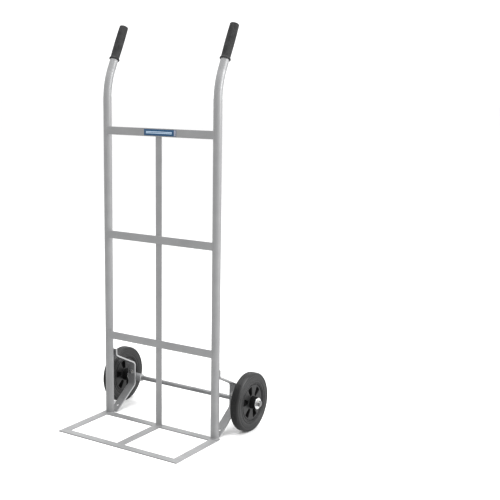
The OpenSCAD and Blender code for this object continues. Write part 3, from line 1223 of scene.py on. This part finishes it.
def make_label():
    """A blue plate with a grey band at its right end and two plain stripes."""
    low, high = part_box("label_plate")
    front = low.y
    band_w = 8.5 * MM
    stripe_margin = 8 * MM
    stripe_h = 2.4 * MM
    stripe_offset = 2.2 * MM
    print_t = 0.06 * MM
    print_edge_r = 0.03 * MM
    backing = rounded_plate("label_backing", low, high, 1.5 * MM, 0.25 * MM, LABEL_BLUE)
    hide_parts("label_plate")
    rounded_plate(
        "label_end_band",
        Vector((high.x - band_w, front - print_t, low.z + MM)),
        Vector((high.x - MM, front + print_t, high.z - MM)),
        0.8 * MM, print_edge_r, LABEL_GREY,
    )
    start = low.x + stripe_margin
    end = high.x - band_w - stripe_margin
    centre_z = (low.z + high.z) / 2
    for row, z in enumerate((centre_z + stripe_offset, centre_z - stripe_offset), 1):
        rounded_plate(
            "label_stripe_%d" % row,
            Vector((start, front - print_t, z - stripe_h / 2)),
            Vector((end, front + print_t, z + stripe_h / 2)),
            0.7 * MM, print_edge_r, LABEL_LIGHT,
        )


for side_name in SIDES:
    make_grip(side_name)
    make_tyre(side_name)
    make_rim(side_name)
make_axle_nuts()
make_lug_fasteners()
make_beads("welds_crossbars", crossbar_welds())
make_beads("welds_centre_bar", centre_bar_welds())
make_beads("welds_toe_frame", toe_welds())
make_beads("welds_brackets", bracket_welds())
make_label()


# ---------------------------------------------------------------- studio

FLOOR_HALF = 30
PAPER_TONES = (0.965, 0.985)
PAPER_BOUNCE = (0.55, 0.55, 0.55)
PAPER_GLOW = 0.04
ROOM_DIM = 0.87
ROOM_BRIGHT = 1.3
# Level direction, from the object, in which the room is brightest
ROOM_BRIGHT_SIDE = (-0.58, 0.81, 0)


def seen_directly(tree):
    return node(tree, "ShaderNodeLightPath").outputs["Is Camera Ray"]


def add_to_scene(name, data):
    made = bpy.data.objects.new(name, data)
    bpy.context.scene.collection.objects.link(made)
    return made


def make_floor():
    mesh = bpy.data.meshes.new("studio_floor")
    corners = [(-1, -1), (1, -1), (1, 1), (-1, 1)]
    mesh.from_pydata([(x * FLOOR_HALF, y * FLOOR_HALF, 0) for x, y in corners], [], [(0, 1, 2, 3)])
    material, tree, shader = start_material("floor_paper", (0.95, 0.95, 0.95), 0.7)
    grain = noise(tree, object_coordinates(tree), 1.5, 3)
    tone = ramp(tree, grain, [(0.3, PAPER_TONES[0]), (0.7, PAPER_TONES[1])])
    # Seen directly the paper is white. It throws less light back up at the object
    coat = blend_colours(tree, seen_directly(tree), PAPER_BOUNCE, tone)
    tree.links.new(coat, shader.inputs["Base Color"])
    shader.inputs["Emission Color"].default_value = (1, 1, 1, 1)
    shader.inputs["Emission Strength"].default_value = PAPER_GLOW
    mesh.materials.append(material)
    add_to_scene("studio_floor", mesh)


def make_room():
    world = bpy.data.worlds.new("studio")
    world.use_nodes = True
    tree = world.node_tree
    background = tree.nodes["Background"]
    direction = node(tree, "ShaderNodeTexCoord").outputs["Generated"]
    towards_bright = node(tree, "ShaderNodeVectorMath", operation="DOT_PRODUCT")
    tree.links.new(direction, towards_bright.inputs[0])
    towards_bright.inputs[1].default_value = ROOM_BRIGHT_SIDE
    strength = node(tree, "ShaderNodeMapRange", interpolation_type="SMOOTHSTEP")
    strength.inputs["From Min"].default_value = 0.1
    strength.inputs["From Max"].default_value = 0.75
    strength.inputs["To Min"].default_value = ROOM_DIM
    strength.inputs["To Max"].default_value = ROOM_BRIGHT
    tree.links.new(towards_bright.outputs["Value"], strength.inputs["Value"])
    # Seen directly the room is white all round
    either = node(tree, "ShaderNodeMath", operation="MAXIMUM")
    tree.links.new(seen_directly(tree), either.inputs[0])
    tree.links.new(strength.outputs["Result"], either.inputs[1])
    tree.links.new(either.outputs["Value"], background.inputs["Strength"])
    background.inputs["Color"].default_value = (1, 1, 1, 1)
    bpy.context.scene.world = world


def make_softbox(name, place, target, size, power):
    data = bpy.data.lights.new(name, "AREA")
    data.shape = "RECTANGLE"
    data.size, data.size_y = size
    data.energy = power
    light = add_to_scene(name, data)
    light.location = place
    light.rotation_euler = (Vector(target) - Vector(place)).to_track_quat("-Z", "Y").to_euler()


def make_camera(place, line_of_sight, lens, shift):
    data = bpy.data.cameras.new("camera")
    data.sensor_width = 36
    data.lens = lens
    data.shift_x, data.shift_y = shift
    camera = add_to_scene("camera", data)
    camera.location = place
    camera.rotation_euler = Vector(line_of_sight).to_track_quat("-Z", "Y").to_euler()
    bpy.context.scene.camera = camera


make_floor()
make_room()
make_softbox(
    "right_softbox", place=(3.25, 0.95, 2.3), target=(0, 0, 0.7), size=(2.2, 2.6), power=130,
)
make_softbox(
    "top_softbox", place=(-0.3, -0.2, 4.2), target=(0, 0, 0.5), size=(3, 3), power=118,
)
make_camera(
    place=(1.96595, -2.70988, 1.22819), line_of_sight=(-0.57867, 0.79762, -0.17015),
    lens=72.709, shift=(0.17899, -0.01873),
)
bpy.context.scene.view_settings.view_transform = "Standard"
